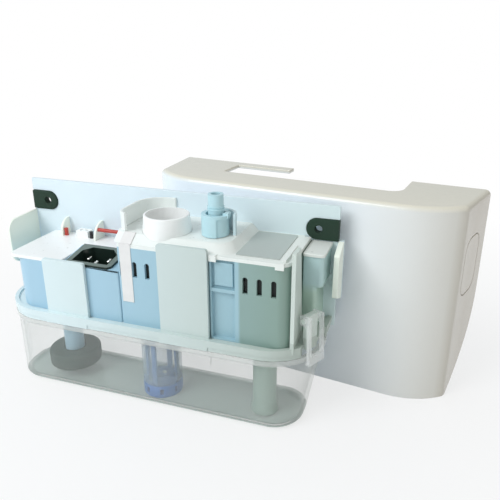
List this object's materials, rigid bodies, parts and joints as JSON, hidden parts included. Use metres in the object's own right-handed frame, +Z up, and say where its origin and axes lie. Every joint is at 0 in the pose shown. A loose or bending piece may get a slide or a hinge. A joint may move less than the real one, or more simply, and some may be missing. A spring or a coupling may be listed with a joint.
{
  "type": "condensate pump",
  "caption": "Wall-mounted condensate pump: clear reservoir tank under a frame of housings with inlet socket, hose spigot, float, coil pump and a lift-off cover.",
  "frame": {"origin": "centre of the reservoir tank's flat base, on which the pump can stand", "axes": "+X to the right along the wall, +Y back towards the wall, +Z up"},
  "size_m": [0.2954, 0.1405, 0.1302],
  "materials": {
    "plate_white": "satin moulded",
    "lid_white": "satin moulded",
    "frame_white": "satin moulded",
    "housing_blue": "satin moulded",
    "rubber_black": "matt",
    "inlet_black": "fine matt",
    "pin_metal": "plated",
    "label_silver": "satin film",
    "label_white": "matt film",
    "clear": "clear moulded",
    "strainer_blue": "satin moulded",
    "pipe_green": "satin moulded",
    "brass": "turned",
    "steel": "zinc plated",
    "coil_black": "moulded",
    "outlet_blue": "satin moulded",
    "hose_silicone": "smooth",
    "board_green": "solder mask",
    "wire_red": "smooth sleeve",
    "wire_black": "smooth sleeve",
    "float_green": "closed-cell foam",
    "cover_white": "high gloss moulded"
  },
  "bodies": {
    "pump": {"back_plate": "plate_white", "socket_guard": "lid_white", "wall_grommet_left": "rubber_black", "wall_grommet_right": "rubber_black", "rim_frame": "frame_white", "left_housing": "housing_blue", "inlet_housing": "housing_blue", "mains_inlet": "inlet_black", "inlet_pins": "pin_metal", "vent_housing": "housing_blue", "pump_housing": "housing_blue", "side_housing": "housing_blue", "left_lid": "lid_white", "main_lid": "lid_white", "side_lid": "lid_white", "rating_plate": "label_silver", "seal_strip": "label_white", "drain_socket": "lid_white", "drop_tube": "clear", "strainer": "strainer_blue", "float_stem": "housing_blue", "suction_pipe": "pipe_green", "pump_cylinder": "brass", "piston_spring": "steel", "coil_frame": "steel", "coil": "coil_black", "outlet_seat": "outlet_blue", "poppet_spring": "steel", "discharge_tube": "hose_silicone", "circuit_board": "board_green", "terminal_block": "lid_white", "red_wire": "wire_red", "black_wire": "wire_black"},
    "tank": {"tank": "clear"},
    "latch": {"tank_latch": "clear"},
    "float_body": {"float": "float_green"},
    "piston_body": {"piston": "steel"},
    "poppet_body": {"check_poppet": "rubber_black"},
    "valve": {"outlet_valve": "outlet_blue"},
    "cover_body": {"cover": "cover_white"},
    "button_left": {"cover_button_left": "cover_white"},
    "button_right": {"cover_button_right": "cover_white"}
  },
  "joints": [
    {"name": "tank_swing", "type": "hinge", "parent": "pump", "child": "tank", "pos_m": [-0.1059, 0.018, 0.044], "axis": [0, 1, 0], "range_deg": [0, 12]},
    {"name": "latch_swing", "type": "hinge", "parent": "pump", "child": "latch", "pos_m": [0.09849, -0.00388, 0.067], "axis": [-0.4695, -0.8829, 0], "range_deg": [-3, 50]},
    {"name": "float_rise", "type": "slide", "parent": "pump", "child": "float_body", "axis": [0, 0, 1], "range_m": [0, 0.014]},
    {"name": "piston_stroke", "type": "slide", "parent": "pump", "child": "piston_body", "axis": [0, 0, 1], "range_m": [-0.002, 0.002], "stiffness_N_per_m": 600, "deforming": ["piston_spring"]},
    {"name": "poppet_lift", "type": "slide", "parent": "pump", "child": "poppet_body", "axis": [0, 0, 1], "range_m": [0, 0.0025], "stiffness_N_per_m": 100, "deforming": ["poppet_spring"]},
    {"name": "outlet_turn", "type": "hinge", "parent": "pump", "child": "valve", "pos_m": [0.0402, 0.0047, 0.11], "axis": [0, 0, 1], "range_deg": [0, 90]},
    {"name": "cover_lift", "type": "slide", "parent": "pump", "child": "cover_body", "axis": [0, 0, 1], "range_m": [0, 0.1]},
    {"name": "button_left_press", "type": "slide", "parent": "cover_body", "child": "button_left", "axis": [0.9903, -0.1392, 0], "range_m": [0, 0.0015], "stiffness_N_per_m": 800},
    {"name": "button_right_press", "type": "slide", "parent": "cover_body", "child": "button_right", "axis": [-0.9903, 0.1392, 0], "range_m": [0, 0.0015], "stiffness_N_per_m": 800}
  ]
}
